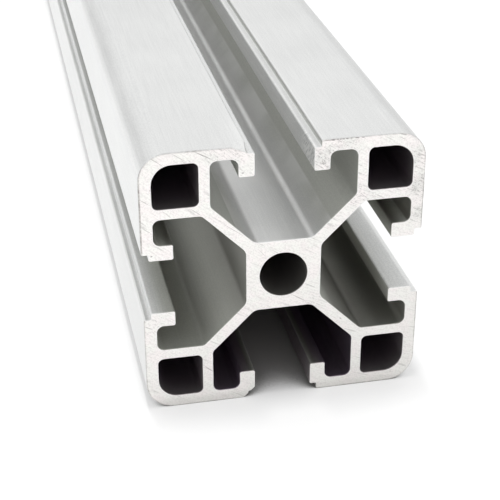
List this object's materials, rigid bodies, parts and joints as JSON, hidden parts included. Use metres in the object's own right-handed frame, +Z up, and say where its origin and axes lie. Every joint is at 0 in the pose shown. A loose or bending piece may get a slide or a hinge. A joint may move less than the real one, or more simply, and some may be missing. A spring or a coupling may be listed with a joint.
{
  "type": "aluminium t-slot profile",
  "caption": "Square aluminium extrusion with a T-slot in each side, hollow corners and a bored core, sawn square to length.",
  "frame": {"origin": "on the floor under the middle of the bar, halfway along it", "axes": "+Y along the bar, away from the sawn end that the picture shows; +X across it to that end's right; +Z up"},
  "size_m": [0.04, 0.3, 0.04],
  "materials": {
    "aluminium": "matt silver anodised skin, bare sawn ends"
  },
  "bodies": {
    "root": {"t_slot_profile": "aluminium"}
  },
  "joints": []
}
